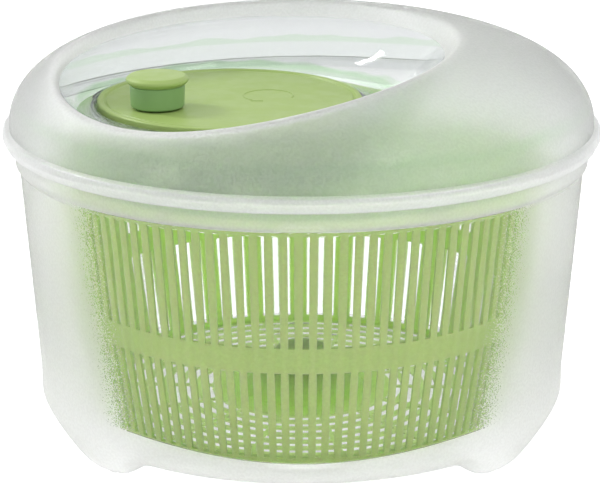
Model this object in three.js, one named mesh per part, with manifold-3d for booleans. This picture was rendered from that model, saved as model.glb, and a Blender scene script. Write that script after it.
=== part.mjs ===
// Hand-cranked salad spinner: a translucent bowl on four broad feet, a slotted basket that turns on a
// pin in the bowl's floor, and a domed lid with an off-centre recess. A crank disc in the recess carries
// a ring gear; it drives a pinion on the bowl's axis three times as fast, and the pinion turns the basket
// through a driver plate. Millimetres, +Z up, origin on the bowl's axis in the plane the feet stand on.
// The front, where the rim has its thumb notch, faces -Y.

import * as THREE from "three";
import { mergeVertices } from "three/addons/utils/BufferGeometryUtils.js";
import Module from "manifold-3d";

const wasm = await Module();
wasm.setup();

// ---------------------------------------------------------------- driving dimensions
const LID_R = 125; // outer radius of the lid's flange, the widest point
const GAP = 0.3; // clearance between pieces that touch or are fastened together
const WALL = 2; // wall thickness of the bowl and the lid
const SEGMENTS = 40; // facets around the large turned shells

// bowl
const BOWL_FLOOR_R = 92.4; // where the floor turns up into the corner
const BOWL_FLOOR_Z = 8; // underside of the floor, above the surface it stands on
const BOWL_CORNER_R = 19;
const BOWL_WALL_TOP = { r: 118.1, z: 113 };
const BOWL_RIM_R = 119.7;
const BOWL_LIP_Z = 115.4; // underside of the rim band
const BOWL_RIM_Z = 125.3;
const FOOT_R = 97;
const FOOT_FROM_FRONT = THREE.MathUtils.degToRad(50); // azimuth of each broad foot from front or back
const PAD_R = 83; // four low pads lie between the feet

// basket
const BASKET_FLOOR_Z = 12;
const BASKET_TOP_Z = 117;
const BASKET_FLOOR_R = 89;
const BASKET_BAND_R = 97; // radius at the solid band between the two rows of slots
const BASKET_TOP_R = 103.5;
const BASKET_WALL = 1.8;
const BASKET_RIM_R = 106.5;
const BASKET_SLOTS = 36;
const LOWER_SLOTS_Z = [14.6, 51.5];
const UPPER_SLOTS_Z = [63, 111];
const FLOOR_SLOT_RINGS = [40, 56, 72];
const FLOOR_SLOT_WIDTH = 5;
const FLOOR_SECTORS = 8;
const CONE_R = 27; // solid cone in the middle of the basket's floor
const CONE_TOP_R = 10;
const CONE_TOP_Z = 30.5;

// gears, module 2
const MODULE = 2;
const RING_TEETH = 45;
const PINION_TEETH = 15;
const PRESSURE_ANGLE = THREE.MathUtils.degToRad(20);
const BACKLASH = 0.5; // taken off each tooth's thickness at the pitch circle
const CRANK_X = (-MODULE * (RING_TEETH - PINION_TEETH)) / 2; // crank axis, so that ring and pinion mesh

// crank disc and knob
const DISC_R = 55.5;
const DISC_TOP_Z = 139.5;
const DISC_BOTTOM_Z = 136;
const KNOB_ARM = [-29.2, -18]; // knob's axis from the crank's axis
const KNOB_R = 11.4;
const KNOB_CAP_R = 12.9;
const KNOB_CAP_Z = 149.2;
const KNOB_TOP_Z = 153.2;

// lid
const WELL_R = DISC_R + 0.8; // round opening that the crank disc fills
const WELL_EDGE_Z = 137.3;
const WELL_BOTTOM_Z = 133;
const DOME = { r: 122, z: 128.8, rise: 42.5, edge: 2.93, crown: 2.34 }; // superellipse of revolution
const DOME_FOOT = { r: 121.9, z: 130.2 };
const RIM_CENTRE = [-18.9, -17.9]; // the recess breaks through the dome along an off-centre ellipse
const RIM_RADII = [80, 88.3];
const RIM_TURN = THREE.MathUtils.degToRad(-21.7);

// gear housing under the lid
const HOUSING_R = 56;
const HOUSING_FLOOR_Z = 121.5;
const HOUSING_FLANGE_R = 66;
const COVER_SCREW_R = 61.3; // pitch radius of the four housing screws, about the crank's axis
const SHAFT_R = 4;
const DRIVER_Z = 110.6; // underside of the driver plate
const DRIVER_R = 99;
const DRIVE_ARMS = 6; // arms that lie in the notches of the basket's rim
const ARM_WIDTH = 8;

// ---------------------------------------------------------------- geometry helpers

// A three.js geometry as a manifold-3d solid: positions only, shared vertices merged, no empty triangles.
function solid(geometry) {
  const bare = geometry.index ? geometry.toNonIndexed() : geometry.clone();
  const merged = mergeVertices(
    new THREE.BufferGeometry().setAttribute("position", bare.getAttribute("position")),
    1e-4,
  );
  const index = merged.index.array;
  const kept = [];
  for (let i = 0; i < index.length; i += 3) {
    const [a, b, c] = [index[i], index[i + 1], index[i + 2]];
    if (a !== b && b !== c && c !== a) kept.push(a, b, c);
  }
  return new wasm.Manifold(
    new wasm.Mesh({
      numProp: 3,
      vertProperties: new Float32Array(merged.attributes.position.array),
      triVerts: new Uint32Array(kept),
    }),
  );
}

function geometryOf(body) {
  const mesh = body.getMesh();
  return new THREE.BufferGeometry()
    .setAttribute("position", new THREE.BufferAttribute(new Float32Array(mesh.vertProperties), 3))
    .setIndex(new THREE.BufferAttribute(new Uint32Array(mesh.triVerts), 1));
}

// Turns a closed [radius, height] profile about the vertical axis through (x, y).
function turned(profile, segments = 32, x = 0, y = 0) {
  const area = profile.reduce((sum, [r, z], i) => {
    const [r2, z2] = profile[(i + 1) % profile.length];
    return sum + r * z2 - r2 * z;
  }, 0);
  const loop = [...(area > 0 ? profile : [...profile].reverse())];
  const points = [...loop, loop[0]].map(([r, z]) => new THREE.Vector2(r, z));
  const body = new THREE.LatheGeometry(points, segments);
  return solid(body.rotateX(Math.PI / 2).translate(x, y, 0));
}

function tube(rIn, rOut, z0, z1, segments = 24, x = 0, y = 0) {
  return turned([[rIn, z0], [rOut, z0], [rOut, z1], [rIn, z1]], segments, x, y);
}

const rod = (r, z0, z1, segments = 24, x = 0, y = 0) => tube(0, r, z0, z1, segments, x, y);

function box(sx, sy, sz, matrix) {
  return solid(new THREE.BoxGeometry(sx, sy, sz).applyMatrix4(matrix));
}

// A place at radius r and height z, turned to that azimuth, with local x pointing outwards.
function around(angle, r, z, lean = 0) {
  return new THREE.Matrix4()
    .makeRotationZ(angle)
    .multiply(new THREE.Matrix4().makeTranslation(r, 0, z))
    .multiply(new THREE.Matrix4().makeRotationY(lean));
}

const evenly = (count, make) => Array.from({ length: count }, (_, i) => make((2 * Math.PI * i) / count, i));

const joined = (bodies) => bodies.reduce((all, body) => all.add(body));

// Points of an arc in the profile plane, from one angle to another.
function arc(r, z, radius, from, to, steps) {
  return Array.from({ length: steps + 1 }, (_, i) => {
    const a = THREE.MathUtils.degToRad(from + ((to - from) * i) / steps);
    return [r + radius * Math.cos(a), z + radius * Math.sin(a)];
  });
}

// Joins rings of points, each a function of the angle, into one closed tube-like body.
function lofted(rings, segments) {
  const positions = [];
  for (const ring of rings)
    for (let j = 0; j < segments; j++) positions.push(...ring((2 * Math.PI * j) / segments));
  const index = [];
  rings.forEach((_, i) => {
    const next = (i + 1) % rings.length;
    for (let j = 0; j < segments; j++) {
      const k = (j + 1) % segments;
      const [a, b, c, d] = [i * segments + j, i * segments + k, next * segments + k, next * segments + j];
      index.push(a, b, c, a, c, d);
    }
  });
  const body = new THREE.BufferGeometry()
    .setAttribute("position", new THREE.BufferAttribute(new Float32Array(positions), 3))
    .setIndex(index);
  return solid(body);
}

// ---------------------------------------------------------------- bowl

function bowlFoot(angle, r, radii, centreZ) {
  const shape = new THREE.SphereGeometry(1, 12, 6).scale(...radii);
  return solid(shape.applyMatrix4(around(angle, r, centreZ)));
}

function makeBowl() {
  const corner = BOWL_FLOOR_Z + BOWL_CORNER_R;
  const inner = BOWL_CORNER_R - WALL;
  const shell = turned(
    [
      [0, BOWL_FLOOR_Z],
      ...arc(BOWL_FLOOR_R, corner, BOWL_CORNER_R, -90, -5, 5),
      [BOWL_WALL_TOP.r, BOWL_WALL_TOP.z],
      [BOWL_RIM_R, BOWL_LIP_Z],
      [BOWL_RIM_R, BOWL_RIM_Z],
      [BOWL_RIM_R - WALL, BOWL_RIM_Z],
      [BOWL_RIM_R - WALL, BOWL_LIP_Z + WALL],
      [BOWL_WALL_TOP.r - WALL, BOWL_WALL_TOP.z + WALL],
      ...arc(BOWL_FLOOR_R, corner, inner, -5, -90, 5),
      [12, BOWL_FLOOR_Z + WALL],
      [7, 14],
      [3 + GAP, 14],
      [3 + GAP, 8.5],
      [0, 8.5],
    ],
    SEGMENTS,
  );
  const broad = [-1, 1].flatMap((end) =>
    [-1, 1].map((side) => bowlFoot((end * Math.PI) / 2 + side * FOOT_FROM_FRONT, FOOT_R, [9, 17, 9], 6.2)),
  );
  const pads = evenly(4, (a) => bowlFoot(a, PAD_R, [9, 22, 6.5], 5));
  const below = box(300, 300, 20, new THREE.Matrix4().makeTranslation(0, 0, -10));
  const inside = turned([[0, BOWL_FLOOR_Z + WALL], [BOWL_FLOOR_R, BOWL_FLOOR_Z + WALL],
    ...arc(BOWL_FLOOR_R, corner, inner, -90, -5, 5), [0, corner]], SEGMENTS);
  const feet = joined([...broad, ...pads]).subtract(below).subtract(inside);
  const notch = box(16.5, 2.4, 4, new THREE.Matrix4().makeTranslation(0, -BOWL_RIM_R, BOWL_LIP_Z - 0.3));
  return shell.add(feet).subtract(notch);
}

const makePivotPin = () => turned([[0, 8.8], [3, 8.8], [3, 24], [2, 26], [0, 26]], 20);

// ---------------------------------------------------------------- basket

// Outer radius of the basket's wall at a height: two straight tapers that meet at the solid band.
function basketRadius(z) {
  const bandZ = (LOWER_SLOTS_Z[1] + UPPER_SLOTS_Z[0]) / 2;
  return z < bandZ
    ? THREE.MathUtils.mapLinear(z, BASKET_FLOOR_Z, bandZ, BASKET_FLOOR_R, BASKET_BAND_R)
    : THREE.MathUtils.mapLinear(z, bandZ, BASKET_TOP_Z, BASKET_BAND_R, BASKET_TOP_R);
}

// One upright slot through the wall, leaning with the wall's taper.
function wallSlot(angle, [z0, z1]) {
  const [r0, r1] = [basketRadius(z0), basketRadius(z1)];
  const lean = Math.atan2(r1 - r0, z1 - z0);
  const width = ((2 * Math.PI * r0) / BASKET_SLOTS) * 0.5;
  const length = Math.hypot(r1 - r0, z1 - z0);
  return box(8, width, length, around(angle, (r0 + r1) / 2 - BASKET_WALL / 2, (z0 + z1) / 2, lean));
}

// One arc-shaped slot through the floor.
function floorSlot(angle, r) {
  const half = Math.PI / FLOOR_SECTORS - 2.4 / r;
  const shape = new THREE.Shape();
  shape.absarc(0, 0, r + FLOOR_SLOT_WIDTH / 2, angle - half, angle + half, false);
  shape.absarc(0, 0, r - FLOOR_SLOT_WIDTH / 2, angle + half, angle - half, true);
  const slot = new THREE.ExtrudeGeometry(shape, { depth: 8, bevelEnabled: false, curveSegments: 4 });
  return solid(slot.translate(0, 0, BASKET_FLOOR_Z - 3));
}

function makeBasket() {
  const floorTop = BASKET_FLOOR_Z + BASKET_WALL;
  const bandZ = (LOWER_SLOTS_Z[1] + UPPER_SLOTS_Z[0]) / 2;
  const rimZ = BASKET_TOP_Z - 2.5;
  const socket = 6 + GAP;
  const shell = turned(
    [
      [CONE_R, BASKET_FLOOR_Z],
      [BASKET_FLOOR_R, BASKET_FLOOR_Z],
      [BASKET_BAND_R, bandZ],
      [basketRadius(rimZ), rimZ],
      [BASKET_RIM_R, rimZ],
      [BASKET_RIM_R, BASKET_TOP_Z],
      [BASKET_TOP_R - BASKET_WALL, BASKET_TOP_Z],
      [BASKET_BAND_R - BASKET_WALL, bandZ],
      [BASKET_FLOOR_R - BASKET_WALL, floorTop],
      [CONE_R, floorTop],
      [CONE_TOP_R, CONE_TOP_Z],
      [0, CONE_TOP_Z],
      [0, CONE_TOP_Z - 1.6],
      [socket, CONE_TOP_Z - 1.6],
      [socket, 15],
      [socket + 1.8, 15],
      [socket + 1.8, CONE_TOP_Z - 3.2],
      [CONE_TOP_R - 1, CONE_TOP_Z - 3.2],
    ],
    BASKET_SLOTS,
  );
  const offset = Math.PI / BASKET_SLOTS; // slots sit in the middle of the wall's facets
  const slots = evenly(BASKET_SLOTS, (a) =>
    wallSlot(a + offset, LOWER_SLOTS_Z).add(wallSlot(a + offset, UPPER_SLOTS_Z)),
  );
  const drains = evenly(FLOOR_SECTORS, (a) => joined(FLOOR_SLOT_RINGS.map((r) => floorSlot(a, r))));
  const notches = evenly(DRIVE_ARMS, (a) =>
    box(14, ARM_WIDTH + 1.4, 8, around(a, BASKET_RIM_R - 1.5, BASKET_TOP_Z)),
  );
  return shell.subtract(joined([...slots, ...drains, ...notches]));
}

const makeBasketBush = () =>
  turned([[0, 26.3], [3.35, 26.3], [3.35, 15.2], [6, 15.2], [6, 28.6], [0, 28.6]], 24);

// ---------------------------------------------------------------- lid

const circle = (r, z, x = 0) => (a) => [x + r * Math.cos(a), r * Math.sin(a), z];

// Height of the dome's outer surface at a distance from the bowl's axis.
function domeZ(r) {
  const left = 1 - Math.min(r / DOME.r, 1) ** DOME.edge;
  return DOME.z + DOME.rise * left ** (1 / DOME.crown);
}

// The recess's rim in plan, moved inwards by the inset.
function rimPlan(a, inset = 0) {
  const [u, v] = [
    (RIM_RADII[0] - inset) * Math.cos(a - RIM_TURN),
    (RIM_RADII[1] - inset) * Math.sin(a - RIM_TURN),
  ];
  return [
    RIM_CENTRE[0] + u * Math.cos(RIM_TURN) - v * Math.sin(RIM_TURN),
    RIM_CENTRE[1] + u * Math.sin(RIM_TURN) + v * Math.cos(RIM_TURN),
  ];
}

// A ring on the dome, part of the way in plan from its foot to the recess's rim.
const onDome = (share) => (a) => {
  const [x, y] = rimPlan(a);
  const [fx, fy] = [DOME_FOOT.r * Math.cos(a), DOME_FOOT.r * Math.sin(a)];
  const [px, py] = [fx + (x - fx) * share, fy + (y - fy) * share];
  return [px, py, domeZ(Math.hypot(px, py))];
};

// The lid's upper surface, from the dome's foot over the rim and down to the edge of the well.
function lidSkin() {
  const foot = circle(DOME_FOOT.r, DOME_FOOT.z);
  const wall = (a) => [...rimPlan(a, 2.8), onDome(1)(a)[2] - 2.2];
  const edge = circle(WELL_R, WELL_EDGE_Z, CRANK_X);
  const dome = [0.03, 0.1, 0.24, 0.45, 0.72, 1].map(onDome);
  const recess = [0.88, 0.7, 0.5, 0.25].map((share) => (a) => {
    const [p, q] = [edge(a), wall(a)];
    const height = share ** 2.4; // flat near the well and steep near the rim
    return [
      p[0] + (q[0] - p[0]) * share,
      p[1] + (q[1] - p[1]) * share,
      p[2] + (q[2] - p[2]) * height,
    ];
  });
  return [foot, ...dome, wall, ...recess, edge];
}

// A ring moved inwards by the wall thickness, square to the surface that it and its neighbours span.
function thickened(rings, i) {
  return (a) => {
    const before = new THREE.Vector3(...rings[Math.max(i - 1, 0)](a));
    const after = new THREE.Vector3(...rings[Math.min(i + 1, rings.length - 1)](a));
    const left = new THREE.Vector3(...rings[i](a - 0.01));
    const right = new THREE.Vector3(...rings[i](a + 0.01));
    const normal = right.sub(left).cross(after.sub(before)).normalize();
    return new THREE.Vector3(...rings[i](a)).addScaledVector(normal, -WALL).toArray();
  };
}

function makeLid() {
  const skin = lidSkin();
  const under = skin.map((_, i) => thickened(skin, i)).reverse();
  const seatZ = BOWL_RIM_Z + GAP;
  const skirt = BOWL_RIM_R + 1.5;
  const shell = lofted(
    [
      circle(skirt, 123.6),
      circle(LID_R - 1.6, 123.6),
      circle(LID_R, 125.6),
      circle(LID_R, 127.6),
      circle(LID_R - 1.4, 129.4),
      ...skin,
      circle(WELL_R, WELL_BOTTOM_Z, CRANK_X),
      circle(WELL_R + WALL, WELL_BOTTOM_Z, CRANK_X),
      circle(WELL_R + WALL, WELL_EDGE_Z - WALL, CRANK_X),
      ...under.slice(1),
      circle(BOWL_RIM_R - WALL - GAP, seatZ),
      circle(skirt, seatZ),
    ],
    SEGMENTS,
  );
  const bosses = screwPlaces().map(([x, y]) => rod(3.8, WELL_BOTTOM_Z, 136.6, 16, x, y));
  const holes = screwPlaces().map(([x, y]) => rod(1.8, WELL_BOTTOM_Z - 5, 136.3, 12, x, y));
  return shell.add(joined(bosses)).subtract(joined(holes));
}

const screwPlaces = () =>
  evenly(4, (a) => [
    CRANK_X + COVER_SCREW_R * Math.cos(a + Math.PI / 4),
    COVER_SCREW_R * Math.sin(a + Math.PI / 4),
  ]);

// ---------------------------------------------------------------- gear housing, under the lid

function makeHousing() {
  const floorTop = HOUSING_FLOOR_Z + WALL;
  const flangeZ = WELL_BOTTOM_Z - GAP;
  const cup = turned(
    [
      [SHAFT_R + GAP, HOUSING_FLOOR_Z],
      [HOUSING_R, HOUSING_FLOOR_Z],
      [HOUSING_R, flangeZ - WALL],
      [HOUSING_FLANGE_R, flangeZ - WALL],
      [HOUSING_FLANGE_R, flangeZ],
      [HOUSING_R - WALL, flangeZ],
      [HOUSING_R - WALL, floorTop],
      [7, floorTop],
      [7, 131],
      [SHAFT_R + GAP, 131],
    ],
    SEGMENTS,
    CRANK_X,
  );
  const collar = rod(9, 117.5, 124.5, 28);
  const bore = rod(6 + GAP, 110, 126, 24);
  const holes = screwPlaces().map(([x, y]) => rod(1.9, 125, 135, 12, x, y));
  return cup.add(collar).subtract(joined([bore, ...holes]));
}

const makeShaftBush = () =>
  turned([[4.3, 117.8], [6, 117.8], [6, 124.8], [8, 124.8], [8, 125.6], [4.3, 125.6]], 24);

// A pan-head screw with its head at the bottom, reaching up.
function screwUp(x, y, headZ, tipZ, headR = 3, headHeight = 2) {
  const neck = headZ + headHeight;
  return turned(
    [
      [0, headZ],
      [headR * 0.7, headZ],
      [headR, headZ + 0.8],
      [headR, neck],
      [1.5, neck],
      [1.5, tipZ - 1],
      [0, tipZ],
    ],
    16,
    x,
    y,
  );
}

// ---------------------------------------------------------------- gears

// One tooth's outline as [radius, angle] from its left root to its right root, on an involute flank.
function tooth(teeth, rootR, tipR, halfThickness) {
  const pitchR = (MODULE * teeth) / 2;
  const baseR = pitchR * Math.cos(PRESSURE_ANGLE);
  const roll = (r) => (r <= baseR ? 0 : Math.sqrt((r / baseR) ** 2 - 1) - Math.acos(baseR / r));
  const half = (r) => halfThickness / pitchR + roll(pitchR) - roll(r);
  const flank = [rootR, pitchR, tipR];
  return [...flank.map((r) => [r, -half(r)]), ...flank.reverse().map((r) => [r, half(r)])];
}

function gearOutline(teeth, rootR, tipR, halfThickness, phase) {
  const pitch = (2 * Math.PI) / teeth;
  return Array.from({ length: teeth }, (_, i) => i).flatMap((i) =>
    tooth(teeth, rootR, tipR, halfThickness).map(([r, a]) => {
      const turn = a + phase + i * pitch;
      return new THREE.Vector2(r * Math.cos(turn), r * Math.sin(turn));
    }),
  );
}

function extruded(shape, z0, z1, x = 0) {
  const body = new THREE.ExtrudeGeometry(shape, { depth: z1 - z0, bevelEnabled: false, curveSegments: 24 });
  return solid(body.translate(x, 0, z0));
}

const TOOTH_HALF = (Math.PI * MODULE) / 4 - BACKLASH / 2;

// Internal gear: its hole is the outline of an outer gear whose teeth are the spaces, one of them at +X.
function makeRingGear() {
  const pitchR = (MODULE * RING_TEETH) / 2;
  const spaceHalf = (Math.PI * MODULE) / 2 - TOOTH_HALF;
  const shape = new THREE.Shape().absarc(0, 0, 52, 0, 2 * Math.PI, false);
  shape.holes.push(
    new THREE.Path(gearOutline(RING_TEETH, pitchR - 1.6, pitchR + 2.4, spaceHalf, 0)),
  );
  return extruded(shape, 127, DISC_BOTTOM_Z - GAP, CRANK_X);
}

function makePinion() {
  const pitchR = (MODULE * PINION_TEETH) / 2;
  const shape = new THREE.Shape(gearOutline(PINION_TEETH, pitchR - 2.4, pitchR + 1.7, TOOTH_HALF, 0));
  shape.holes.push(new THREE.Path().absarc(0, 0, SHAFT_R + GAP, 0, 2 * Math.PI, true));
  return extruded(shape, 126, 132.4);
}

const makePinionScrew = () =>
  turned([[0, 123], [1.5, 124], [1.5, 132.8], [5, 132.8], [5, 134.2], [3.6, 135], [0, 135]], 20);

// ---------------------------------------------------------------- basket driver

function makeDriver() {
  const top = DRIVER_Z + WALL;
  const plate = turned(
    [
      [0, DRIVER_Z],
      [DRIVER_R, DRIVER_Z],
      [DRIVER_R, DRIVER_Z + 3.6],
      [DRIVER_R - WALL, DRIVER_Z + 3.6],
      [DRIVER_R - WALL, top],
      [12, top],
      [9, 116.8],
      [SHAFT_R, 116.8],
      [SHAFT_R, 132.2],
      [1.8, 132.2],
      [1.8, 121.5],
      [0, 121.5],
    ],
    SEGMENTS,
  );
  const arms = evenly(DRIVE_ARMS, (a) => box(8, ARM_WIDTH, 3, around(a, DRIVER_R + 2.5, DRIVER_Z + 4.4)));
  const vents = evenly(8, (a) =>
    rod(9, DRIVER_Z - 1, top + 1, 12, 62 * Math.cos(a + Math.PI / 8), 62 * Math.sin(a + Math.PI / 8)),
  );
  return plate.add(joined(arms)).subtract(joined(vents));
}

// ---------------------------------------------------------------- crank

function makeCrankDisc() {
  const plate = turned(
    [
      [1.8, 121.8],
      [SHAFT_R, 121.8],
      [SHAFT_R, 131.4],
      [8, 131.4],
      [8, DISC_BOTTOM_Z],
      [DISC_R, DISC_BOTTOM_Z],
      [DISC_R, DISC_TOP_Z - 1],
      [DISC_R - 1, DISC_TOP_Z],
      [DISC_R - 3, DISC_TOP_Z],
      [DISC_R - 3.4, DISC_TOP_Z - 0.5],
      [0, DISC_TOP_Z - 0.5],
      [0, 130.6],
      [1.8, 130.6],
    ],
    SEGMENTS,
    CRANK_X,
  );
  const [x, y] = knobAxis();
  return plate.subtract(rod(3 + GAP, DISC_BOTTOM_Z - 1, DISC_TOP_Z + 1, 20, x, y));
}

const knobAxis = () => [CRANK_X + KNOB_ARM[0], KNOB_ARM[1]];

const makeCrankWasher = () => tube(1.9, 7.5, 119.6, 121.2, 24, CRANK_X);

const makeKnobPin = () =>
  turned(
    [[0, 136.3], [3, 136.3], [3, 146.3], [5, 146.3], [5, 147.6], [4, 148.2], [0, 148.2]],
    20,
    ...knobAxis(),
  );

function makeKnobGrip() {
  return turned(
    [
      [3.4, 140],
      [KNOB_R, 140],
      [KNOB_R, KNOB_CAP_Z - GAP],
      [5.6, KNOB_CAP_Z - GAP],
      [5.6, 146],
      [3.4, 146],
    ],
    32,
    ...knobAxis(),
  );
}

function makeKnobCap() {
  return turned(
    [
      [0, KNOB_CAP_Z],
      [KNOB_CAP_R - 1.2, KNOB_CAP_Z],
      ...arc(KNOB_CAP_R - 1.8, KNOB_TOP_Z - 1.8, 1.8, -60, 90, 5),
      [0, KNOB_TOP_Z],
    ],
    32,
    ...knobAxis(),
  );
}

// ---------------------------------------------------------------- materials

function plastic(color, roughness, opacity = 1) {
  return new THREE.MeshStandardMaterial({
    color,
    roughness,
    metalness: 0,
    opacity,
    transparent: opacity < 1,
  });
}

const frosted = plastic(0xe4ebe6, 0.45, 0.45);
const green = plastic(0x9fc75a, 0.4);
const acetal = plastic(0xeeeee8, 0.35);
const steel = new THREE.MeshStandardMaterial({ color: 0xb8babc, roughness: 0.3, metalness: 1 });

// ---------------------------------------------------------------- assembly

const spinner = new THREE.Group();

function add(name, body, material) {
  const mesh = new THREE.Mesh(geometryOf(body), material);
  mesh.name = name;
  spinner.add(mesh);
}

add("bowl", makeBowl(), frosted);
add("pivot_pin", makePivotPin(), steel);
add("basket", makeBasket(), green);
add("basket_bush", makeBasketBush(), acetal);
add("lid_shell", makeLid(), frosted);
add("gear_housing", makeHousing(), green);
add("shaft_bush", makeShaftBush(), acetal);
screwPlaces().forEach(([x, y], i) => add(`housing_screw_${i + 1}`, screwUp(x, y, 128.3, 136), steel));
add("crank_disc", makeCrankDisc(), green);
add("ring_gear", makeRingGear(), acetal);
add("crank_washer", makeCrankWasher(), steel);
add("crank_screw", screwUp(CRANK_X, 0, 117.3, 130, 3.4, 2), steel);
add("knob_pin", makeKnobPin(), steel);
add("knob_grip", makeKnobGrip(), green);
add("knob_cap", makeKnobCap(), green);
add("basket_driver", makeDriver(), green);
add("drive_pinion", makePinion(), acetal);
add("pinion_screw", makePinionScrew(), steel);

export default spinner;
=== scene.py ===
"""Looks for a hand-cranked salad spinner: frosted bowl with a clear window, slotted green basket,
domed lid with a clear recess, crank disc with a knob, and the gear drive under the lid.

Outlines are written in millimetres, as (radius, height) or (radius, height, fillet), and are turned into
metres when a mesh is made. The bowl's axis is the Z axis, the front of the bowl faces -Y.
"""

import math

import bmesh
import bpy
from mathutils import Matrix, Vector


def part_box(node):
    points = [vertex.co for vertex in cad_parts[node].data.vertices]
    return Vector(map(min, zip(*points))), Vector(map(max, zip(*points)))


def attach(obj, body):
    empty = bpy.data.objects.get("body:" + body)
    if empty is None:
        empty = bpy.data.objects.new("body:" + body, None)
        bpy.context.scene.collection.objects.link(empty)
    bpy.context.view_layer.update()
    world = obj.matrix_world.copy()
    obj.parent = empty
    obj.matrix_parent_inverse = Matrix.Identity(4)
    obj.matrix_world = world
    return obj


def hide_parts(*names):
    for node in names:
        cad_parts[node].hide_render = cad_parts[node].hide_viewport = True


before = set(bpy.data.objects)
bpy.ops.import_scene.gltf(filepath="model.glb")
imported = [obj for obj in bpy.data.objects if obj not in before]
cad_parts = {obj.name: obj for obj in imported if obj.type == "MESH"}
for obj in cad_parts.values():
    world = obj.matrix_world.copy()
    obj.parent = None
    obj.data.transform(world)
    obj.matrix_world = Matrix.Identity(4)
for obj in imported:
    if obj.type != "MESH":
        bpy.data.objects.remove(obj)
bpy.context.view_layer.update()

MM = 0.001
TURN = 2 * math.pi
ROUND = 256  # segments around the large turned pieces
SHARP_DEG = 38  # corners sharper than this stay hard in the shading
SAME_PLACE = 1e-7  # points closer than this, in metres, are one point


def top_of(node):
    """Height of a CAD node's highest point, in millimetres."""
    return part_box(node)[1][2] / MM


def bottom_of(node):
    """Height of a CAD node's lowest point, in millimetres."""
    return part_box(node)[0][2] / MM


def centre_of(node):
    """Middle of a CAD node in plan, in millimetres."""
    low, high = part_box(node)
    return ((low[0] + high[0]) / 2 / MM, (low[1] + high[1]) / 2 / MM)


def radius_of(node):
    """Half a CAD node's width, in millimetres."""
    low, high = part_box(node)
    return (high[0] - low[0]) / 2 / MM


# ---------------------------------------------------------------- shared sizes, in millimetres

CRANK_X = centre_of("crank_disc")[0]
KNOB_X, KNOB_Y = centre_of("knob_cap")
DISC_R = radius_of("crank_disc")
DISC_TOP = top_of("crank_disc")
LID_R = radius_of("lid_shell")
FLANGE_BOTTOM = bottom_of("lid_shell")
BOWL_TOP = top_of("bowl")
BOWL_RIM_R = radius_of("bowl")
BASKET_TOP = top_of("basket")
BASKET_BOTTOM = bottom_of("basket")
BASKET_RIM_R = radius_of("basket")

LID_WALL = 2.0
BOWL_WALL = 2.0

# painted refraction: the green of the parts under the lid, painted into the clear plastic where they would
# be seen through it
PAINTED_GREEN_REFRACTION = (0.60, 0.82, 0.58)
SOLID_IOR = 1.49  # polypropylene
THIN_IOR = 1.28  # lower, so that less light is lost inside the thin clear and frosted walls


# ---------------------------------------------------------------- mesh helpers


def filleted(outline, steps=5):
    """The outline's points, with each corner that states a fillet radius turned into an arc."""
    points = []
    for i, corner in enumerate(outline):
        here = Vector(corner[:2])
        fillet = corner[2] if len(corner) > 2 else 0
        if not fillet or i in (0, len(outline) - 1):
            points.append(here)
            continue
        back = Vector(outline[i - 1][:2]) - here
        on = Vector(outline[i + 1][:2]) - here
        half = back.angle(on) / 2
        longest = 0.49 * min(back.length, on.length)  # so that two fillets never meet on one side
        reach = min(fillet / math.tan(half), longest)
        radius = reach * math.tan(half)
        middle = here + (back.normalized() + on.normalized()).normalized() * radius / math.sin(half)
        first = here + back.normalized() * reach - middle
        last = here + on.normalized() * reach - middle
        sweep = first.angle_signed(last)
        for k in range(steps + 1):
            a = -sweep * k / steps
            turned = Vector((
                first.x * math.cos(a) - first.y * math.sin(a),
                first.x * math.sin(a) + first.y * math.cos(a),
            ))
            points.append(middle + turned)
    return [(p.x, p.y) for p in points]


def refined(outline, longest):
    """The outline with points added so that no step is longer than that."""
    points = [outline[0]]
    for a, b in zip(outline, outline[1:]):
        count = max(1, math.ceil(math.dist(a, b) / longest))
        for k in range(1, count + 1):
            points.append((a[0] + (b[0] - a[0]) * k / count, a[1] + (b[1] - a[1]) * k / count))
    return points


def piece(name, mesh, body, material=None, replaces=()):
    """A new object from a mesh, riding on a CAD body."""
    obj = bpy.data.objects.new(name, mesh)
    bpy.context.scene.collection.objects.link(obj)
    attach(obj, body)
    if replaces:
        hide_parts(*replaces)
    if material:
        mesh.materials.append(material)


def shade(bm, sharp_deg=SHARP_DEG):
    """Smooth shading, except across corners sharper than that."""
    for face in bm.faces:
        face.smooth = True
    for edge in bm.edges:
        edge.smooth = not (edge.is_manifold and edge.calc_face_angle(0) > math.radians(sharp_deg))


def finish_mesh(name, bm):
    """Closes off a bmesh as a smooth-shaded mesh whose hard corners stay sharp."""
    bmesh.ops.remove_doubles(bm, verts=bm.verts, dist=SAME_PLACE)
    bmesh.ops.recalc_face_normals(bm, faces=bm.faces)
    shade(bm)
    mesh = bpy.data.meshes.new(name)
    bm.to_mesh(mesh)
    bm.free()
    return mesh


def grid(rings, segments, closed=False, hole=None, slot_of=None):
    """A bmesh of quads between rings, each a function from an angle to a point in millimetres.

    hole(row, column) says which quads are left out, and slot_of(row) which material a row takes.
    A ring with no radius becomes one point.
    """
    bm = bmesh.new()
    loops = []
    for ring in rings:
        points = [Vector(ring(TURN * j / segments)) * MM for j in range(segments)]
        if (points[0] - points[segments // 3]).length < SAME_PLACE:
            loops.append([bm.verts.new(points[0])] * segments)
        else:
            loops.append([bm.verts.new(p) for p in points])
    rows = range(len(rings)) if closed else range(len(rings) - 1)
    for i in rows:
        upper = loops[(i + 1) % len(rings)]
        for j in range(segments):
            if hole and hole(i, j):
                continue
            k = (j + 1) % segments
            corners = [loops[i][j], loops[i][k], upper[k], upper[j]]
            unique = list(dict.fromkeys(corners))
            if len(unique) < 3:
                continue
            face = bm.faces.new(unique)
            if slot_of:
                face.material_index = slot_of(i)
    loose = [v for v in bm.verts if not v.link_faces]
    bmesh.ops.delete(bm, geom=loose, context="VERTS")
    return bm


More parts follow.
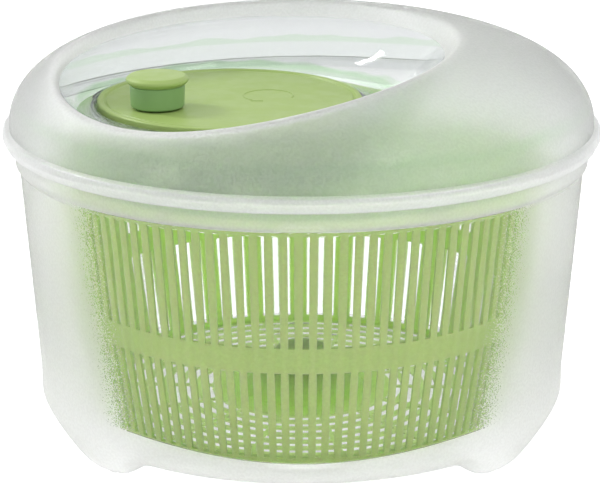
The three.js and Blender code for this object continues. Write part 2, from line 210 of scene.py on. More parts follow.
def circle(r, z, x=0.0, y=0.0):
    """A level ring about a point in plan."""
    return lambda a: (x + r * math.cos(a), y + r * math.sin(a), z)


def turned(name, outline, segments=96, x=0.0, y=0.0, steps=5):
    """A solid of revolution from an outline that starts and ends on its axis or closes on itself."""
    points = filleted(outline, steps)
    on_axis = points[0][0] == 0 and points[-1][0] == 0
    bm = grid([circle(r, z, x, y) for r, z in points], segments, closed=not on_axis)
    return finish_mesh(name, bm)


def thicken(mesh, thickness, materials, inner_offset=0, even=True, thin=None, thin_share=1.0):
    """Gives a sheet a thickness, inwards from the skin that it is.

    Inner faces take the material that many slots further on. Points for which thin(point) holds get only
    that share of the thickness.
    """
    for material in materials:
        mesh.materials.append(material)
    obj = bpy.data.objects.new("sheet", mesh)
    bpy.context.scene.collection.objects.link(obj)
    solid = obj.modifiers.new("thickness", "SOLIDIFY")
    solid.thickness = thickness * MM
    solid.offset = -1
    solid.use_even_offset = even
    solid.material_offset = inner_offset
    solid.material_offset_rim = inner_offset
    if thin:
        group = obj.vertex_groups.new(name="full")
        group.add([v.index for v in mesh.vertices if not thin(v.co)], 1.0, "REPLACE")
        solid.vertex_group = group.name
        solid.thickness_vertex_group = thin_share
    depsgraph = bpy.context.evaluated_depsgraph_get()
    solid_mesh = bpy.data.meshes.new_from_object(obj.evaluated_get(depsgraph))
    bpy.data.objects.remove(obj)
    return solid_mesh


def sharpen(mesh, sharp_deg=SHARP_DEG):
    """Shades a finished mesh again, which a thickened sheet needs."""
    bm = bmesh.new()
    bm.from_mesh(mesh)
    shade(bm, sharp_deg)
    bm.to_mesh(mesh)
    bm.free()
    return mesh


def wave(x, centre, half_width):
    """A smooth bump: 1 at the centre, 0 from half a width away."""
    t = abs(x - centre) / half_width
    return math.cos(t * math.pi / 2) ** 2 if t < 1 else 0.0


def angle_between(a, b):
    """The smaller angle between two directions."""
    return abs((a - b + math.pi) % TURN - math.pi)


# ---------------------------------------------------------------- material helpers


class Nodes:
    """A small wrapper that makes a material's node tree read like a formula."""

    def __init__(self, name):
        self.material = bpy.data.materials.new(name)
        self.material.use_nodes = True
        self.tree = self.material.node_tree
        self.shader = self.tree.nodes["Principled BSDF"]
        self.output = self.tree.nodes["Material Output"]

    def node(self, kind, **settings):
        made = self.tree.nodes.new(kind)
        for key, value in settings.items():
            setattr(made, key, value)
        return made

    def link(self, source, target):
        if hasattr(source, "is_linked"):
            self.tree.links.new(source, target)
        else:
            target.default_value = source

    def math(self, operation, *values):
        """The result of one arithmetic step on numbers or sockets."""
        made = self.node("ShaderNodeMath", operation=operation)
        for socket, value in zip(made.inputs, values):
            self.link(value, socket)
        return made.outputs[0]

    def place(self):
        """The point on the object, in metres from the middle of its underside."""
        return self.node("ShaderNodeTexCoord").outputs["Object"]

    def parts(self, vector):
        """A vector's X, Y and Z."""
        made = self.node("ShaderNodeSeparateXYZ")
        self.link(vector, made.inputs[0])
        return made.outputs

    def noise(self, size_mm, detail=3, vector=None, stretch=None):
        """Noise between 0 and 1 whose features are about that size."""
        vector = vector or self.place()
        if stretch:
            mapping = self.node("ShaderNodeMapping")
            mapping.inputs["Scale"].default_value = stretch
            self.link(vector, mapping.inputs["Vector"])
            vector = mapping.outputs[0]
        made = self.node("ShaderNodeTexNoise")
        self.link(vector, made.inputs["Vector"])
        made.inputs["Scale"].default_value = 1 / (size_mm * MM)
        made.inputs["Detail"].default_value = detail
        return made.outputs["Fac"]

    def ramp(self, value, low, high, to_low=0.0, to_high=1.0):
        """Maps low..high to to_low..to_high, smoothly and without going past either."""
        made = self.node("ShaderNodeMapRange", interpolation_type="SMOOTHSTEP")
        self.link(value, made.inputs["Value"])
        self.link(low, made.inputs["From Min"])
        self.link(high, made.inputs["From Max"])
        self.link(to_low, made.inputs["To Min"])
        self.link(to_high, made.inputs["To Max"])
        return made.outputs["Result"]

    def blend(self, share, a, b):
        """A colour between a and b."""
        made = self.node("ShaderNodeMix", data_type="RGBA")
        self.link(share, made.inputs["Factor"])
        for value, socket in ((a, made.inputs[6]), (b, made.inputs[7])):
            if hasattr(value, "is_linked"):
                self.link(value, socket)
            else:
                socket.default_value = (*value, 1)
        return made.outputs[2]

    def bump(self, height, strength, depth_mm):
        """Makes the surface look raised by a height between 0 and 1, at most that deep."""
        made = self.node("ShaderNodeBump")
        self.link(height, made.inputs["Height"])
        self.link(strength, made.inputs["Strength"])
        made.inputs["Distance"].default_value = depth_mm * MM
        self.link(made.outputs["Normal"], self.shader.inputs["Normal"])

    def set(self, **values):
        """Sets or links the shader's inputs, named with underscores for spaces."""
        for key, value in values.items():
            self.link(value, self.shader.inputs[key.replace("_", " ")])


def srgb(red, green, blue):
    """A screen colour, 0 to 255, as linear light."""
    shares = [value / 255 for value in (red, green, blue)]
    return tuple(c / 12.92 if c <= 0.04 else ((c + 0.055) / 1.055) ** 2.4 for c in shares)


GREEN_SCATTER = (0.6, 1.0, 0.4)  # how far red, green and blue light spread inside the green plastic
SCATTER_DEPTH = 0.014
FROST_SCATTER_DEPTH = 0.004
GRAIN_SIZE = 1.1  # of the frosted plastic, in millimetres
GRAIN_CONTRAST = (0.38, 0.62)
POLISHED = 0.035  # roughness of the windows in the frosted plastic


def moulded(name, colour, roughness=0.34, mottle=0.05, translucency=0.0):
    """Moulded plastic: faint flow mottling, uneven gloss and a very fine orange-peel skin."""
    n = Nodes(name)
    dark = tuple(c * (1 - mottle) for c in colour)
    light = tuple(min(1, c * (1 + mottle)) for c in colour)
    mottled = n.blend(n.noise(22, 4), dark, light)
    gloss = n.ramp(n.noise(9, 3), 0.3, 0.7, roughness - 0.05, roughness + 0.06)
    n.set(Base_Color=mottled, Roughness=gloss, IOR=SOLID_IOR)
    if translucency:
        n.set(
            Subsurface_Weight=translucency,
            Subsurface_Radius=GREEN_SCATTER,
            Subsurface_Scale=SCATTER_DEPTH,
        )
    n.bump(n.noise(1.4, 2), 0.10, 0.05)
    return n.material


def clear_plastic(name, roughness=0.03, tint=(0.965, 0.975, 0.98), haze=0.0, painted_refraction=None):
    """Clear plastic whose gloss varies a little over the surface, with a share of milkiness.

    Its last argument, a function of the nodes, gives a mask of where the green of the parts below it is
    painted into its colour, as a painted refraction.
    """
    n = Nodes(name)
    gloss = n.ramp(n.noise(14, 3), 0.35, 0.75, roughness, roughness + 0.03)
    colour = n.blend(n.noise(30, 2), tint, tuple(min(1, c + 0.02) for c in tint))
    # painted refraction: the green of the parts below, blended into the plastic's colour
    if painted_refraction:
        colour = n.blend(painted_refraction(n), colour, PAINTED_GREEN_REFRACTION)
    n.set(Base_Color=colour, Roughness=gloss, Transmission_Weight=1.0 - haze, IOR=THIN_IOR)
    return n.material


def frosted_plastic(name, haze, tint=(1.0, 1.0, 1.0), roughness=0.42, grain_depth=0.16, speckle=0.0,
                    clear_share=None, grain_share=None):
    """Milky, finely grained plastic.

    haze is the share of light that the milky body scatters, a number or a function of the nodes, and
    speckle how much it changes from one grain to the next. clear_share(nodes) gives a mask of where the
    plastic is polished clear, and grain_share(nodes), which goes with it, how much of the grain is left.
    """
    n = Nodes(name)
    grain = n.noise(GRAIN_SIZE, 2)
    rough, strength = roughness, 0.8
    milk = haze(n) if callable(haze) else haze
    if speckle:
        milk = n.math("ADD", milk, n.ramp(grain, *GRAIN_CONTRAST, -speckle, speckle))
    if clear_share:
        frost = n.math("SUBTRACT", 1.0, clear_share(n))
        rough = n.ramp(frost, 0.0, 1.0, POLISHED, roughness)
        milk = n.math("MULTIPLY", frost, milk)
        strength = n.math("MULTIPLY", n.math("MULTIPLY", frost, grain_share(n)), strength)
    varies = hasattr(milk, "is_linked")
    n.set(
        Base_Color=n.blend(n.ramp(grain, *GRAIN_CONTRAST), tuple(c * 0.93 for c in tint), tint),
        Roughness=rough,
        Transmission_Weight=n.math("SUBTRACT", 1.0, milk) if varies else 1.0 - milk,
        IOR=THIN_IOR,
        Subsurface_Weight=1.0,
        Subsurface_Radius=(1.0, 1.0, 1.0),
        Subsurface_Scale=FROST_SCATTER_DEPTH,
    )
    n.bump(grain, strength, grain_depth)
    return n.material


def metal(name, colour, roughness=0.28):
    """Turned metal with fine level lines."""
    n = Nodes(name)
    lines = n.noise(2.0, 3, stretch=(1, 1, 9))
    n.set(
        Base_Color=n.blend(lines, tuple(c * 0.86 for c in colour), colour),
        Roughness=n.ramp(lines, 0.3, 0.7, roughness - 0.06, roughness + 0.1),
        Metallic=1.0,
    )
    n.bump(lines, 0.15, 0.03)
    return n.material


# ---------------------------------------------------------------- bowl

BOWL_FLOOR_R = 92.4
BOWL_FLOOR_Z = 8
CORNER_R = 19
WALL_TOP = (118.0, 113.4)
BOWL_LIP_Z = 115.4
FOOT_R = 100
FOOT_FROM_FRONT = math.radians(50)
FOOT_INNER_ANGLE = math.radians(16)
FOOT_OUTER_ANGLE = math.radians(27)
FOOT_REACH = 15
PAD_R = 85
PAD_HALF_ANGLE = math.radians(14)
PAD_REACH = 10
PAD_Z = 0.8
FOOT_PRESS = 1.5  # over 1, so that a foot's underside is flat
PAD_PRESS = 1.3
NOTCH_HALF_WIDTH = 8.2
NOTCH_RISE = 1.7
WINDOW_SIDE = (math.radians(40.2), math.radians(45.3))  # from straight ahead, at its foot and its head
WINDOW_SIDE_Z = (20, 112)
WINDOW_BLUR = 0.03  # half the width of its side edge, in radians
WINDOW_GRAIN = 0.36  # how far that edge is broken up
FRONT_FOOT_Z = (18.6, 23.5)  # the front window's lower end straight ahead, and that far to the side:
FRONT_FOOT_SPREAD = 0.8  # in radians
BACK_FOOT_Z = 8.0
WINDOW_HEAD_Z = (114.8, 115.6)


def bowl_outline():
    """The bowl's outer skin from the middle of its floor to the top of its rim."""
    wall_foot_z = BOWL_FLOOR_Z + CORNER_R
    return refined(
        filleted(
            [
                (0, BOWL_FLOOR_Z),
                (BOWL_FLOOR_R + CORNER_R, BOWL_FLOOR_Z, CORNER_R),
                (BOWL_FLOOR_R + CORNER_R + 0.1, wall_foot_z),
                (*WALL_TOP, 1.2),
                (BOWL_RIM_R, BOWL_LIP_Z, 0.8),
                (BOWL_RIM_R, BOWL_TOP - 0.2),
            ],
            steps=10,
        ),
        4.0,
    )


def bowl_point(r, z):
    """A ring of the bowl's skin: feet and pads press its floor's edge down, a notch lifts its lip."""

    def at(a):
        height = z
        for end in (-math.pi / 2, math.pi / 2):
            off = angle_between(a, end) - FOOT_FROM_FRONT
            half_angle = FOOT_OUTER_ANGLE if off > 0 else FOOT_INNER_ANGLE
            press = min(1.0, FOOT_PRESS * wave(off, 0, half_angle) * wave(r, FOOT_R, FOOT_REACH))
            height -= z * press
        for k in range(4):
            off = angle_between(a, TURN * k / 4)
            press = min(1.0, PAD_PRESS * wave(off, 0, PAD_HALF_ANGLE) * wave(r, PAD_R, PAD_REACH))
            height -= (z - PAD_Z) * press
        x, y = r * math.cos(a), r * math.sin(a)
        on_lip = abs(z - BOWL_LIP_Z) < 1.0 and r > WALL_TOP[0] + 0.5
        if on_lip and y < 0 and abs(x) < NOTCH_HALF_WIDTH:
            height += NOTCH_RISE
        return (x, y, max(height, 0.0))

    return at


def window_share(n):
    """1 on the clear windows in the front and back of the bowl, 0 on the frosted rest, with grainy edges.

    The back window goes further down than the front one.
    """
    x, y, z = n.parts(n.place())
    sideways = n.math("ARCTAN2", n.math("ABSOLUTE", x), n.math("ABSOLUTE", y))
    edge = n.ramp(z, WINDOW_SIDE_Z[0] * MM, WINDOW_SIDE_Z[1] * MM, *WINDOW_SIDE)
    grain = n.math("MULTIPLY", n.math("SUBTRACT", n.noise(0.5, 1), 0.5), WINDOW_GRAIN)
    past = n.math("ADD", n.math("SUBTRACT", sideways, edge), grain)
    inside = n.ramp(past, -WINDOW_BLUR, WINDOW_BLUR, 1.0, 0.0)
    front_end = n.ramp(sideways, 0.0, FRONT_FOOT_SPREAD, FRONT_FOOT_Z[0] * MM, FRONT_FOOT_Z[1] * MM)
    lower_end = n.ramp(y, -10 * MM, 10 * MM, front_end, BACK_FOOT_Z * MM)
    above = n.ramp(z, lower_end, n.math("ADD", lower_end, 1.4 * MM))
    below = n.ramp(z, WINDOW_HEAD_Z[0] * MM, WINDOW_HEAD_Z[1] * MM, 1.0, 0.0)
    return n.math("MULTIPLY", inside, n.math("MULTIPLY", above, below))


def wall_share(n):
    """Grain only on the bowl's wall: the floor and the rim band are smooth."""
    z = n.parts(n.place())[2]
    above_floor = n.ramp(z, 14 * MM, 30 * MM)
    below_rim = n.ramp(z, 113.5 * MM, 115.5 * MM, 1.0, 0.12)
    return n.math("MULTIPLY", above_floor, below_rim)


def bowl_haze(n):
    """The bowl is milkiest low on its wall and at its rim band, and clearer on its floor."""
    x, y, z = n.parts(n.place())
    out = n.math("SQRT", n.math("ADD", n.math("MULTIPLY", x, x), n.math("MULTIPLY", y, y)))
    body = n.ramp(z, 12 * MM, 85 * MM, 0.55, 0.13)
    floor = n.ramp(out, 78 * MM, 90 * MM, 0.4, 0.0)
    rim_band = n.ramp(z, 112 * MM, 115 * MM, 0.0, 0.22)
    return n.math("ADD", n.math("SUBTRACT", body, floor), rim_band)


def make_bowl():
    outline = bowl_outline()
    bm = grid([bowl_point(r, z) for r, z in outline], ROUND)
    outside = frosted_plastic("bowl_frosted", bowl_haze, speckle=0.04, clear_share=window_share,
                              grain_share=wall_share)
    skins = [outside, clear_plastic("bowl_inside")]
    mesh = sharpen(thicken(finish_mesh("bowl_skin", bm), BOWL_WALL, skins, inner_offset=1))
    piece("bowl_shell", mesh, "bowl", replaces=["bowl"])
    foot, top, bore = 9.8, 13.9, 3.1
    boss = turned("bowl_pin_boss", [(bore, foot), (12, foot, 0.5), (7.4, top, 0.6), (bore, top)], 64)
    piece("bowl_pin_boss", boss, "bowl", frosted_plastic("boss_frosted", 0.3))


# ---------------------------------------------------------------- basket

BASKET_SLOTS = 112
SLOT_SHARE = 0.56  # of the pitch
LOWER_SLOTS = (14.2, 52.0)
UPPER_SLOTS = (62.5, BASKET_TOP - 5.5)
BASKET_FLOOR_R = 89.0
BAND_R = 97.0
BASKET_WALL_TOP_R = 103.5
BASKET_WALL = 1.6
DRAIN_RINGS = 7
DRAIN_PITCH = 7.35
DRAIN_WIDTH = 4.4
DRAIN_OUTER_R = 87.2
DRAIN_THICKNESS = 0.9
DRAIN_RIBS = 14
DRAIN_RIB_WIDTH = 1.9
BAR_CROWN = 0.3
CONE_R = 27
CONE_TOP = top_of("basket_bush") + 1.9


def wall_radius(z):
    """Outer radius of the basket's wall: two straight tapers that meet at the solid band."""
    band_z = (LOWER_SLOTS[1] + UPPER_SLOTS[0]) / 2
    if z < band_z:
        share = (z - BASKET_BOTTOM) / (band_z - BASKET_BOTTOM)
        return BASKET_FLOOR_R + (BAND_R - BASKET_FLOOR_R) * share
    share = (z - band_z) / (BASKET_TOP - band_z)
    return BAND_R + (BASKET_WALL_TOP_R - BAND_R) * share


def basket_rows():
    """The basket's outer skin as (radius, height, kind of the row that starts here)."""
    rows = [(0, CONE_TOP, "solid"), (8, CONE_TOP, "solid"), (10, CONE_TOP - 0.8, "solid")]
    rows += [(CONE_R - 3, BASKET_BOTTOM + 2.0, "solid"), (CONE_R, BASKET_BOTTOM, "solid")]
    first = DRAIN_OUTER_R - (DRAIN_RINGS - 1) * DRAIN_PITCH - DRAIN_WIDTH
    for k in range(DRAIN_RINGS):
        inner = first + k * DRAIN_PITCH
        rows.append((inner, BASKET_BOTTOM, "drain"))
        rows.append((inner + DRAIN_WIDTH / 2, BASKET_BOTTOM, "drain"))
        rows.append((inner + DRAIN_WIDTH, BASKET_BOTTOM, "solid"))
    rows.append((wall_radius(BASKET_BOTTOM) - 0.7, BASKET_BOTTOM, "solid"))
    rows.append((wall_radius(BASKET_BOTTOM + 0.7), BASKET_BOTTOM + 0.7, "solid"))
    steps = 8
    for low, high in (LOWER_SLOTS, UPPER_SLOTS):
        for k in range(steps + 1):
            z = low + (high - low) * k / steps
            rows.append((wall_radius(z), z, "slot" if k < steps else "solid"))
        rows.append((wall_radius(high + 2), high + 2, "solid"))
    lip = BASKET_TOP - BASKET_WALL
    rows.append((wall_radius(lip) - 0.2, lip - 0.3, "solid"))
    rows.append((BASKET_RIM_R - 0.6, lip, "solid"))
    rows.append((BASKET_RIM_R - 0.1, lip + 0.3, "solid"))
    return rows


def on_drains(point):
    """Whether a point of the basket, in metres, is on the slotted part of its floor."""
    on_floor = abs(point.z / MM - BASKET_BOTTOM) < 0.1
    return on_floor and CONE_R + 3 < point.xy.length / MM < DRAIN_OUTER_R + 0.5


def make_basket(material):
    rows = basket_rows()
    columns = BASKET_SLOTS * 4
    per_rib = columns // DRAIN_RIBS

    def ring(r, z):
        """A ring of the wall: each bar is crowned a little, also where it crosses the band."""
        ribbed = LOWER_SLOTS[0] <= z <= UPPER_SLOTS[1]

        def at(a):
            column = round(a / TURN * columns)
            place = (0.0, SLOT_SHARE / 2, SLOT_SHARE, (1 + SLOT_SHARE) / 2)[column % 4]
            turn = TURN * (column // 4 + place) / BASKET_SLOTS
            crown = BAR_CROWN if column % 4 == 3 and ribbed else 0.0
            return ((r + crown) * math.cos(turn), (r + crown) * math.sin(turn), z)

        return at

    def hole(row, column):
        kind = rows[row][2]
        if kind == "slot":
            return column % 4 < 2
        if kind == "drain":
            r = rows[row][0]
            rib = max(2, round(DRAIN_RIB_WIDTH / (TURN * r / columns)))
            return (column + 3) % per_rib >= rib
        return False

    bm = grid([ring(r, z) for r, z, _ in rows], columns, hole=hole)
    skin = finish_mesh("basket_skin", bm)
    thin_share = DRAIN_THICKNESS / BASKET_WALL
    mesh = thicken(skin, BASKET_WALL, [material], thin=on_drains, thin_share=thin_share)
    piece("basket_shell", sharpen(mesh, 30), "basket", replaces=["basket"])


# ---------------------------------------------------------------- lid

WELL_R = DISC_R + 0.8
WELL_EDGE_Z = DISC_TOP - 2.2
WELL_BOTTOM_Z = 133.2
DOME = {"r": 122.0, "z": 128.8, "rise": 42.5, "edge": 2.93, "crown": 2.34}  # edge and crown are powers
DOME_FOOT = (121.9, 130.2)
RIM_CENTRE = (-18.9, -17.9)  # the recess breaks through the dome along an off-centre ellipse
RIM_RADII = (80.0, 88.3)
RIM_TURN = math.radians(-21.7)
CREST_OUT = 3.2  # the rim's rounding starts this far outside it
CREST_SHARE = 0.9  # and ends at this share of the way up the recess's wall
RECESS_POWER = 2.6  # how flat the recess's floor is and how steep its wall
FLANGE_TOP_Z = 130.0
PAINTED_REFRACTION_LOW_Z = (137.4, 138.6)  # the painted green refraction in the foot of the recess's wall sets in
PAINTED_REFRACTION_HIGH_Z = (140.5, 141.5)  # and fades out


def dome_z(r):
    """Height of the dome, a superellipse of revolution, at a distance from the bowl's axis."""
    left = 1 - min(r / DOME["r"], 1) ** DOME["edge"]
    return DOME["z"] + DOME["rise"] * left ** (1 / DOME["crown"])


def rim(outset=0.0):
    """The ring on the dome along the recess's rim, or outside it."""

    def at(a):
        u = (RIM_RADII[0] + outset) * math.cos(a - RIM_TURN)
        v = (RIM_RADII[1] + outset) * math.sin(a - RIM_TURN)
        x = RIM_CENTRE[0] + u * math.cos(RIM_TURN) - v * math.sin(RIM_TURN)
        y = RIM_CENTRE[1] + u * math.sin(RIM_TURN) + v * math.cos(RIM_TURN)
        return (x, y, dome_z(math.hypot(x, y)))

    return at


def on_dome(start, end, share):
    """A ring on the dome, part of the way in plan from one ring to another."""

    def at(a):
        x, y, _ = between(start, end, share, share)(a)
        return (x, y, dome_z(math.hypot(x, y)))

    return at


def between(start, end, plan_share, height_share):
    """A ring part of the way from one ring to another, in plan and in height."""

    def at(a):
        p, q = start(a), end(a)
        return (
            p[0] + (q[0] - p[0]) * plan_share,
            p[1] + (q[1] - p[1]) * plan_share,
            p[2] + (q[2] - p[2]) * height_share,
        )

    return at


def curved(start, corner, end, t):
    """A ring on the smooth curve from one ring to another that bends towards the corner ring."""

    def at(a):
        weights = ((1 - t) ** 2, 2 * t * (1 - t), t**2)
        points = (start(a), corner(a), end(a))
        return tuple(sum(w * p[i] for w, p in zip(weights, points)) for i in range(3))

    return at


def lid_rings():
    """The lid's outer skin as (ring, part of the lid that the row starting here belongs to)."""
    foot = circle(*DOME_FOOT)
    shoulder, crest = rim(CREST_OUT), rim()
    edge = circle(WELL_R, WELL_EDGE_Z, CRANK_X)

    def wall(share):
        return between(edge, crest, share, share**RECESS_POWER)

    flange = [
        (LID_R - 1.7, FLANGE_BOTTOM),
        (LID_R - 0.05, FLANGE_BOTTOM + 3.4, 2),
        (LID_R - 0.7, FLANGE_TOP_Z - 0.4, 1.2),
        (DOME_FOOT[0] + 0.4, FLANGE_TOP_Z),
    ]
    rings = [(circle(r, z), "band") for r, z in refined(filleted(flange, 6), 1.2)]
    rings.append((foot, "dome"))
    steps = 28
    rings += [(on_dome(foot, shoulder, (k / steps) ** 2.2), "dome") for k in range(2, steps + 1)]
    steps = 9
    rings += [(curved(shoulder, crest, wall(CREST_SHARE), k / steps), "crest") for k in range(1, steps)]
    steps = 20
    rings += [(wall(CREST_SHARE * (1 - k / steps)), "recess") for k in range(steps)]
    well = ((WELL_R + 0.5, WELL_EDGE_Z), (WELL_R + 0.1, WELL_EDGE_Z - 0.4), (WELL_R + 0.1, WELL_BOTTOM_Z))
    rings += [(circle(r, z, CRANK_X), "recess") for r, z in well]
    return rings


def make_lid():
    rings = lid_rings()
    skin_of = {"dome": 0, "crest": 0, "recess": 1, "band": 2}
    bm = grid([ring for ring, _ in rings], ROUND, slot_of=lambda row: skin_of[rings[row][1]])
    # the dome's frosting includes a painted highlight along the front of its crest
    frosted = frosted_plastic("lid_frosted", dome_haze_and_crest_highlight, speckle=0.03)
    # the recess's clear plastic has the green of the parts below painted in at the foot of its wall, as a
    # painted refraction
    clear = clear_plastic("lid_clear", tint=(0.90, 0.91, 0.93), haze=0.07, painted_refraction=painted_recess_refraction)
    band = frosted_plastic("lid_band", 0.5, roughness=0.3, grain_depth=0.02)
    skins = [frosted, clear, band, clear, clear, clear]  # three for the outside, three for the inside
    mesh = thicken(finish_mesh("lid_skin", bm), LID_WALL, skins, inner_offset=3, even=False)
    piece("lid_dome", sharpen(mesh), "lid", replaces=["lid_shell"])


def painted_recess_refraction(n):
    """Painted refraction: where the foot of the recess's wall bends the view down to the green parts,
    their green is painted in, with a wavy top.
    """
    z = n.parts(n.place())[2]
    waves = n.math("MULTIPLY", n.math("SUBTRACT", n.noise(26, 1), 0.5), 8 * MM)
    above = n.ramp(z, PAINTED_REFRACTION_LOW_Z[0] * MM, PAINTED_REFRACTION_LOW_Z[1] * MM, 0.15, 0.8)
    below = n.ramp(n.math("SUBTRACT", z, waves), PAINTED_REFRACTION_HIGH_Z[0] * MM, PAINTED_REFRACTION_HIGH_Z[1] * MM, 1.0, 0.0)
    return n.math("MULTIPLY", above, below)


def dome_haze_and_crest_highlight(n):
    """The dome's milkiness, with more along the front of its crest as a painted highlight; the crest is
    measured by distance from the rim.
    """
    x, y, z = n.parts(n.place())
    off_x = n.math("SUBTRACT", x, RIM_CENTRE[0] * MM)
    off_y = n.math("SUBTRACT", y, RIM_CENTRE[1] * MM)
    squares = []
    for radius, turn in zip(RIM_RADII, (RIM_TURN, RIM_TURN + math.pi / 2)):
        across = n.math("MULTIPLY", off_x, math.cos(turn))
        along = n.math("ADD", across, n.math("MULTIPLY", off_y, math.sin(turn)))
        squares.append(n.math("POWER", n.math("DIVIDE", along, radius * MM), 2.0))
    out = n.math("SQRT", n.math("ADD", *squares))
    front = n.ramp(y, -10 * MM, 40 * MM, 1.0, 0.2)
    # painted highlight: extra milkiness whitens the crest, mostly at the front
    crest = n.math("MULTIPLY", n.ramp(out, 0.99, 1.09, 0.38, 0.0), front)
    return n.math("ADD", n.ramp(z, 132 * MM, 160 * MM, 0.24, 0.22), crest)


# ---------------------------------------------------------------- crank disc and knob

AXLE_BORE_R = 1.8
AXLE_R = 4
AXLE_HEAD_R = 8
AXLE_BOTTOM_Z = 121.8
AXLE_SHOULDER_Z = 131.4
AXLE_TOP_Z = 136
KNOB_BORE_R = 3.4
KNOB_POCKET_R = 5.6
KNOB_POCKET_Z = 146
ARROW_PLACE = (CRANK_X + 16, 4)
ARROW_R = 10.5
ARROW_HALF_WIDTH = 0.45
ARROW_HEAD_HALF_WIDTH = 2.2
ARROW_START = math.radians(-20)
ARROW_END = math.radians(235)
ARROW_TIP = ARROW_END + math.radians(24)
ARROW_BASE_Z = DISC_TOP - 0.32
ARROW_HEIGHT = 0.22
ARROW_SUNK = 0.3  # how far its underside is inside the disc


def make_crank_disc(material):
    z, r = DISC_TOP, DISC_R
    outline = [
        (0, z - 3.5), (r - 0.05, z - 3.5, 0.3), (r - 0.05, z, 0.9), (r - 2.4, z, 0.5),
        (r - 2.9, z - 0.9, 0.2), (r - 3.7, z - 0.9, 0.2), (r - 4.1, z - 0.35, 0.3), (0, z - 0.3),
    ]
    plate = turned("crank_plate", outline, 192, CRANK_X)
    piece("crank_plate", plate, "crank", material, replaces=["crank_disc"])
    outline = [
        (AXLE_BORE_R, AXLE_BOTTOM_Z), (AXLE_R, AXLE_BOTTOM_Z, 0.3), (AXLE_R, AXLE_SHOULDER_Z, 0.3),
        (AXLE_HEAD_R, AXLE_SHOULDER_Z, 0.4), (AXLE_HEAD_R, AXLE_TOP_Z), (AXLE_BORE_R, AXLE_TOP_Z),
    ]
    axle = turned("crank_axle", outline, 64, CRANK_X)
    piece("crank_axle", axle, "crank", material)


def arrow_point(bm, r, a, height):
    """A point of the arrow: a distance and a direction from its middle, and a height over its base."""
    x, y = ARROW_PLACE
    return bm.verts.new(Vector((x + r * math.cos(a), y + r * math.sin(a), ARROW_BASE_Z + height)) * MM)


def make_turn_arrow(material):
    """A raised curved arrow on the disc that shows which way to turn."""
    bm = bmesh.new()
    profile = ((-1, -ARROW_SUNK), (-0.7, ARROW_HEIGHT), (0.7, ARROW_HEIGHT), (1, -ARROW_SUNK))
    sections = []
    steps = 48
    for k in range(steps + 1):
        a = ARROW_START + (ARROW_END - ARROW_START) * k / steps
        section = [arrow_point(bm, ARROW_R + side * ARROW_HALF_WIDTH, a, dz) for side, dz in profile]
        sections.append(section)
    for a, b in zip(sections, sections[1:]):
        for j in range(4):
            bm.faces.new([a[j], a[(j + 1) % 4], b[(j + 1) % 4], b[j]])
    bm.faces.new(sections[0])
    bm.faces.new(sections[-1])
    shaft = finish_mesh("turn_arrow_shaft", bm)
    piece("turn_arrow_shaft", shaft, "crank", material)

    bm = bmesh.new()
    half = ARROW_HEAD_HALF_WIDTH
    corners = [(ARROW_R + half, ARROW_END), (ARROW_R, ARROW_TIP), (ARROW_R - half, ARROW_END)]
    low = [arrow_point(bm, r, a, -ARROW_SUNK) for r, a in corners]
    high = [arrow_point(bm, r, a, ARROW_HEIGHT) for r, a in corners]
    bm.faces.new(low)
    bm.faces.new(high)
    for j in range(3):
        k = (j + 1) % 3
        bm.faces.new([low[j], low[k], high[k], high[j]])
    head = finish_mesh("turn_arrow_head", bm)
    piece("turn_arrow_head", head, "crank", material)


def make_knob(grip_material, cap_material):
    grip_r, grip_low = radius_of("knob_grip"), bottom_of("knob_grip")
    cap_r, cap_low, cap_top = radius_of("knob_cap"), bottom_of("knob_cap"), top_of("knob_cap")
    grip_top = cap_low - 0.05
    outline = [
        (KNOB_BORE_R, grip_low), (grip_r - 0.7, grip_low, 0.3), (grip_r - 0.35, grip_low + 0.6, 0.5),
        (grip_r, cap_low - 0.5), (grip_r - 0.4, grip_top, 0.2), (KNOB_POCKET_R, grip_top),
        (KNOB_POCKET_R, KNOB_POCKET_Z), (KNOB_BORE_R, KNOB_POCKET_Z),
    ]
    body = turned("knob_body", outline, 96, KNOB_X, KNOB_Y)
    piece("knob_body", body, "knob", grip_material, replaces=["knob_grip"])
    outline = [
        (0, cap_low), (grip_r - 0.2, cap_low, 0.2), (cap_r - 0.9, cap_low + 0.5, 0.6),
        (cap_r, cap_low + 1.6, 0.8), (cap_r - 0.1, cap_top - 1.3, 0.9), (cap_r - 1.5, cap_top - 0.12, 1.0),
        (0, cap_top),
    ]
    crown = turned("knob_top", outline, 96, KNOB_X, KNOB_Y)
    piece("knob_top", crown, "knob", cap_material, replaces=["knob_cap"])


# ---------------------------------------------------------------- stage, light and camera

FLOOR_HALF_WIDTH = 6
SKY_LOW = 1.05
SKY_HIGH = 0.78
CAMERA_X = -0.0007
CAMERA_DISTANCE = 1.034
CAMERA_ELEVATION = 0.290
CAMERA_AIM_Z = 0.0764
LENS_MM = 145.8
SENSOR_MM = 36


def make_floor():
    bm = bmesh.new()
    bmesh.ops.create_grid(bm, x_segments=1, y_segments=1, size=FLOOR_HALF_WIDTH)
    mesh = bpy.data.meshes.new("floor")
    bm.to_mesh(mesh)
    bm.free()
    floor = bpy.data.objects.new("floor", mesh)
    bpy.context.scene.collection.objects.link(floor)
    n = Nodes("floor_white")
    n.set(
        Base_Color=n.blend(n.noise(400, 2), (0.2, 0.2, 0.2), (0.22, 0.22, 0.22)),
        Roughness=0.8,
        Specular_IOR_Level=0.1,
        Emission_Color=(1, 1, 1, 1),
        Emission_Strength=1.0,
    )
    floor.data.materials.append(n.material)


def soft_light(name, place, aim, width, height, power):
    """A rectangular area light that faces a point."""
    data = bpy.data.lights.new(name, "AREA")
    data.shape = "RECTANGLE"
    data.size = width
    data.size_y = height
    data.energy = power
    lamp = bpy.data.objects.new(name, data)
    lamp.location = place
    lamp.rotation_euler = (Vector(aim) - Vector(place)).to_track_quat("-Z", "Y").to_euler()
    bpy.context.scene.collection.objects.link(lamp)


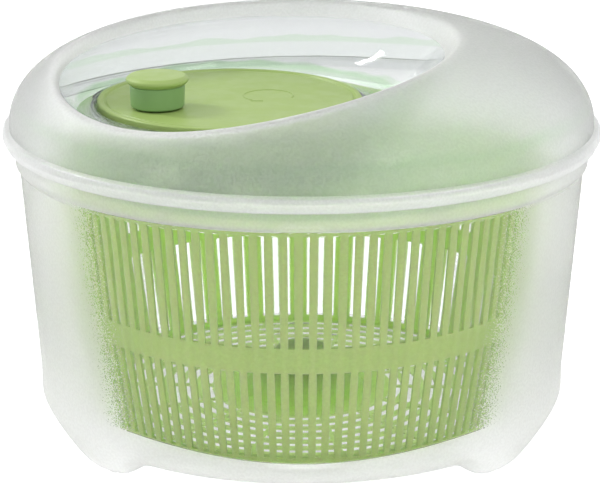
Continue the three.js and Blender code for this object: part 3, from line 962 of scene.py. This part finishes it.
def make_lights():
    """An even white studio, a little darker overhead, with a soft key light and a tall narrow strip."""
    world = bpy.data.worlds.new("studio")
    world.use_nodes = True
    nodes, links = world.node_tree.nodes, world.node_tree.links
    way = nodes.new("ShaderNodeTexCoord")
    parts = nodes.new("ShaderNodeSeparateXYZ")
    sky = nodes.new("ShaderNodeMapRange")
    sky.inputs["To Min"].default_value = SKY_LOW
    sky.inputs["To Max"].default_value = SKY_HIGH
    nodes["Background"].inputs["Color"].default_value = (1, 1, 1, 1)
    links.new(way.outputs["Generated"], parts.inputs[0])
    links.new(parts.outputs["Z"], sky.inputs["Value"])
    links.new(sky.outputs["Result"], nodes["Background"].inputs["Strength"])
    bpy.context.scene.world = world
    soft_light("key", (1.0, -1.1, 1.5), (0, 0, 0.08), width=0.8, height=0.8, power=9)
    soft_light("strip", (-1.15, 0.4, 1.0), (0, 0, 0.12), width=0.12, height=0.4, power=9)


def make_camera():
    """A view from the front and a little above, through a long lens a metre away."""
    data = bpy.data.cameras.new("camera")
    data.lens = LENS_MM
    data.sensor_width = SENSOR_MM
    camera = bpy.data.objects.new("camera", data)
    camera.location = (
        CAMERA_X,
        -CAMERA_DISTANCE * math.cos(CAMERA_ELEVATION),
        CAMERA_AIM_Z + CAMERA_DISTANCE * math.sin(CAMERA_ELEVATION),
    )
    camera.rotation_euler = (math.pi / 2 - CAMERA_ELEVATION, 0, 0)
    bpy.context.scene.collection.objects.link(camera)
    bpy.context.scene.camera = camera


# ---------------------------------------------------------------- build

bpy.context.scene.view_settings.view_transform = "Standard"

basket_green = moulded("basket_green", srgb(177, 211, 119), 0.36, translucency=1.0)
disc_green = moulded("disc_green", srgb(155, 179, 102), 0.42)
knob_green = moulded("knob_green", srgb(127, 163, 103), 0.40)
inner_green = moulded("inner_green", srgb(160, 198, 110), 0.4)
driver_green = frosted_plastic("driver_green", 0.55, tint=srgb(188, 240, 118), roughness=0.35)
acetal = moulded("acetal_white", srgb(236, 236, 228), 0.3, mottle=0.02)
steel = metal("steel", (0.62, 0.62, 0.64))

make_bowl()
make_basket(basket_green)
make_lid()
make_crank_disc(disc_green)
make_turn_arrow(disc_green)
make_knob(knob_green, disc_green)

# the parts that keep the shape that the frame gives them
CARRIED = {
    "gear_housing": inner_green,
    "basket_driver": driver_green,
    **dict.fromkeys(("basket_bush", "shaft_bush", "ring_gear", "drive_pinion"), acetal),
    **dict.fromkeys(("pivot_pin", "knob_pin", "crank_washer", "crank_screw", "pinion_screw"), steel),
    **{f"housing_screw_{k}": steel for k in range(1, 5)},
}
for name, material in CARRIED.items():
    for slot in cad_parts[name].material_slots:
        slot.material = material

make_floor()
make_lights()
make_camera()
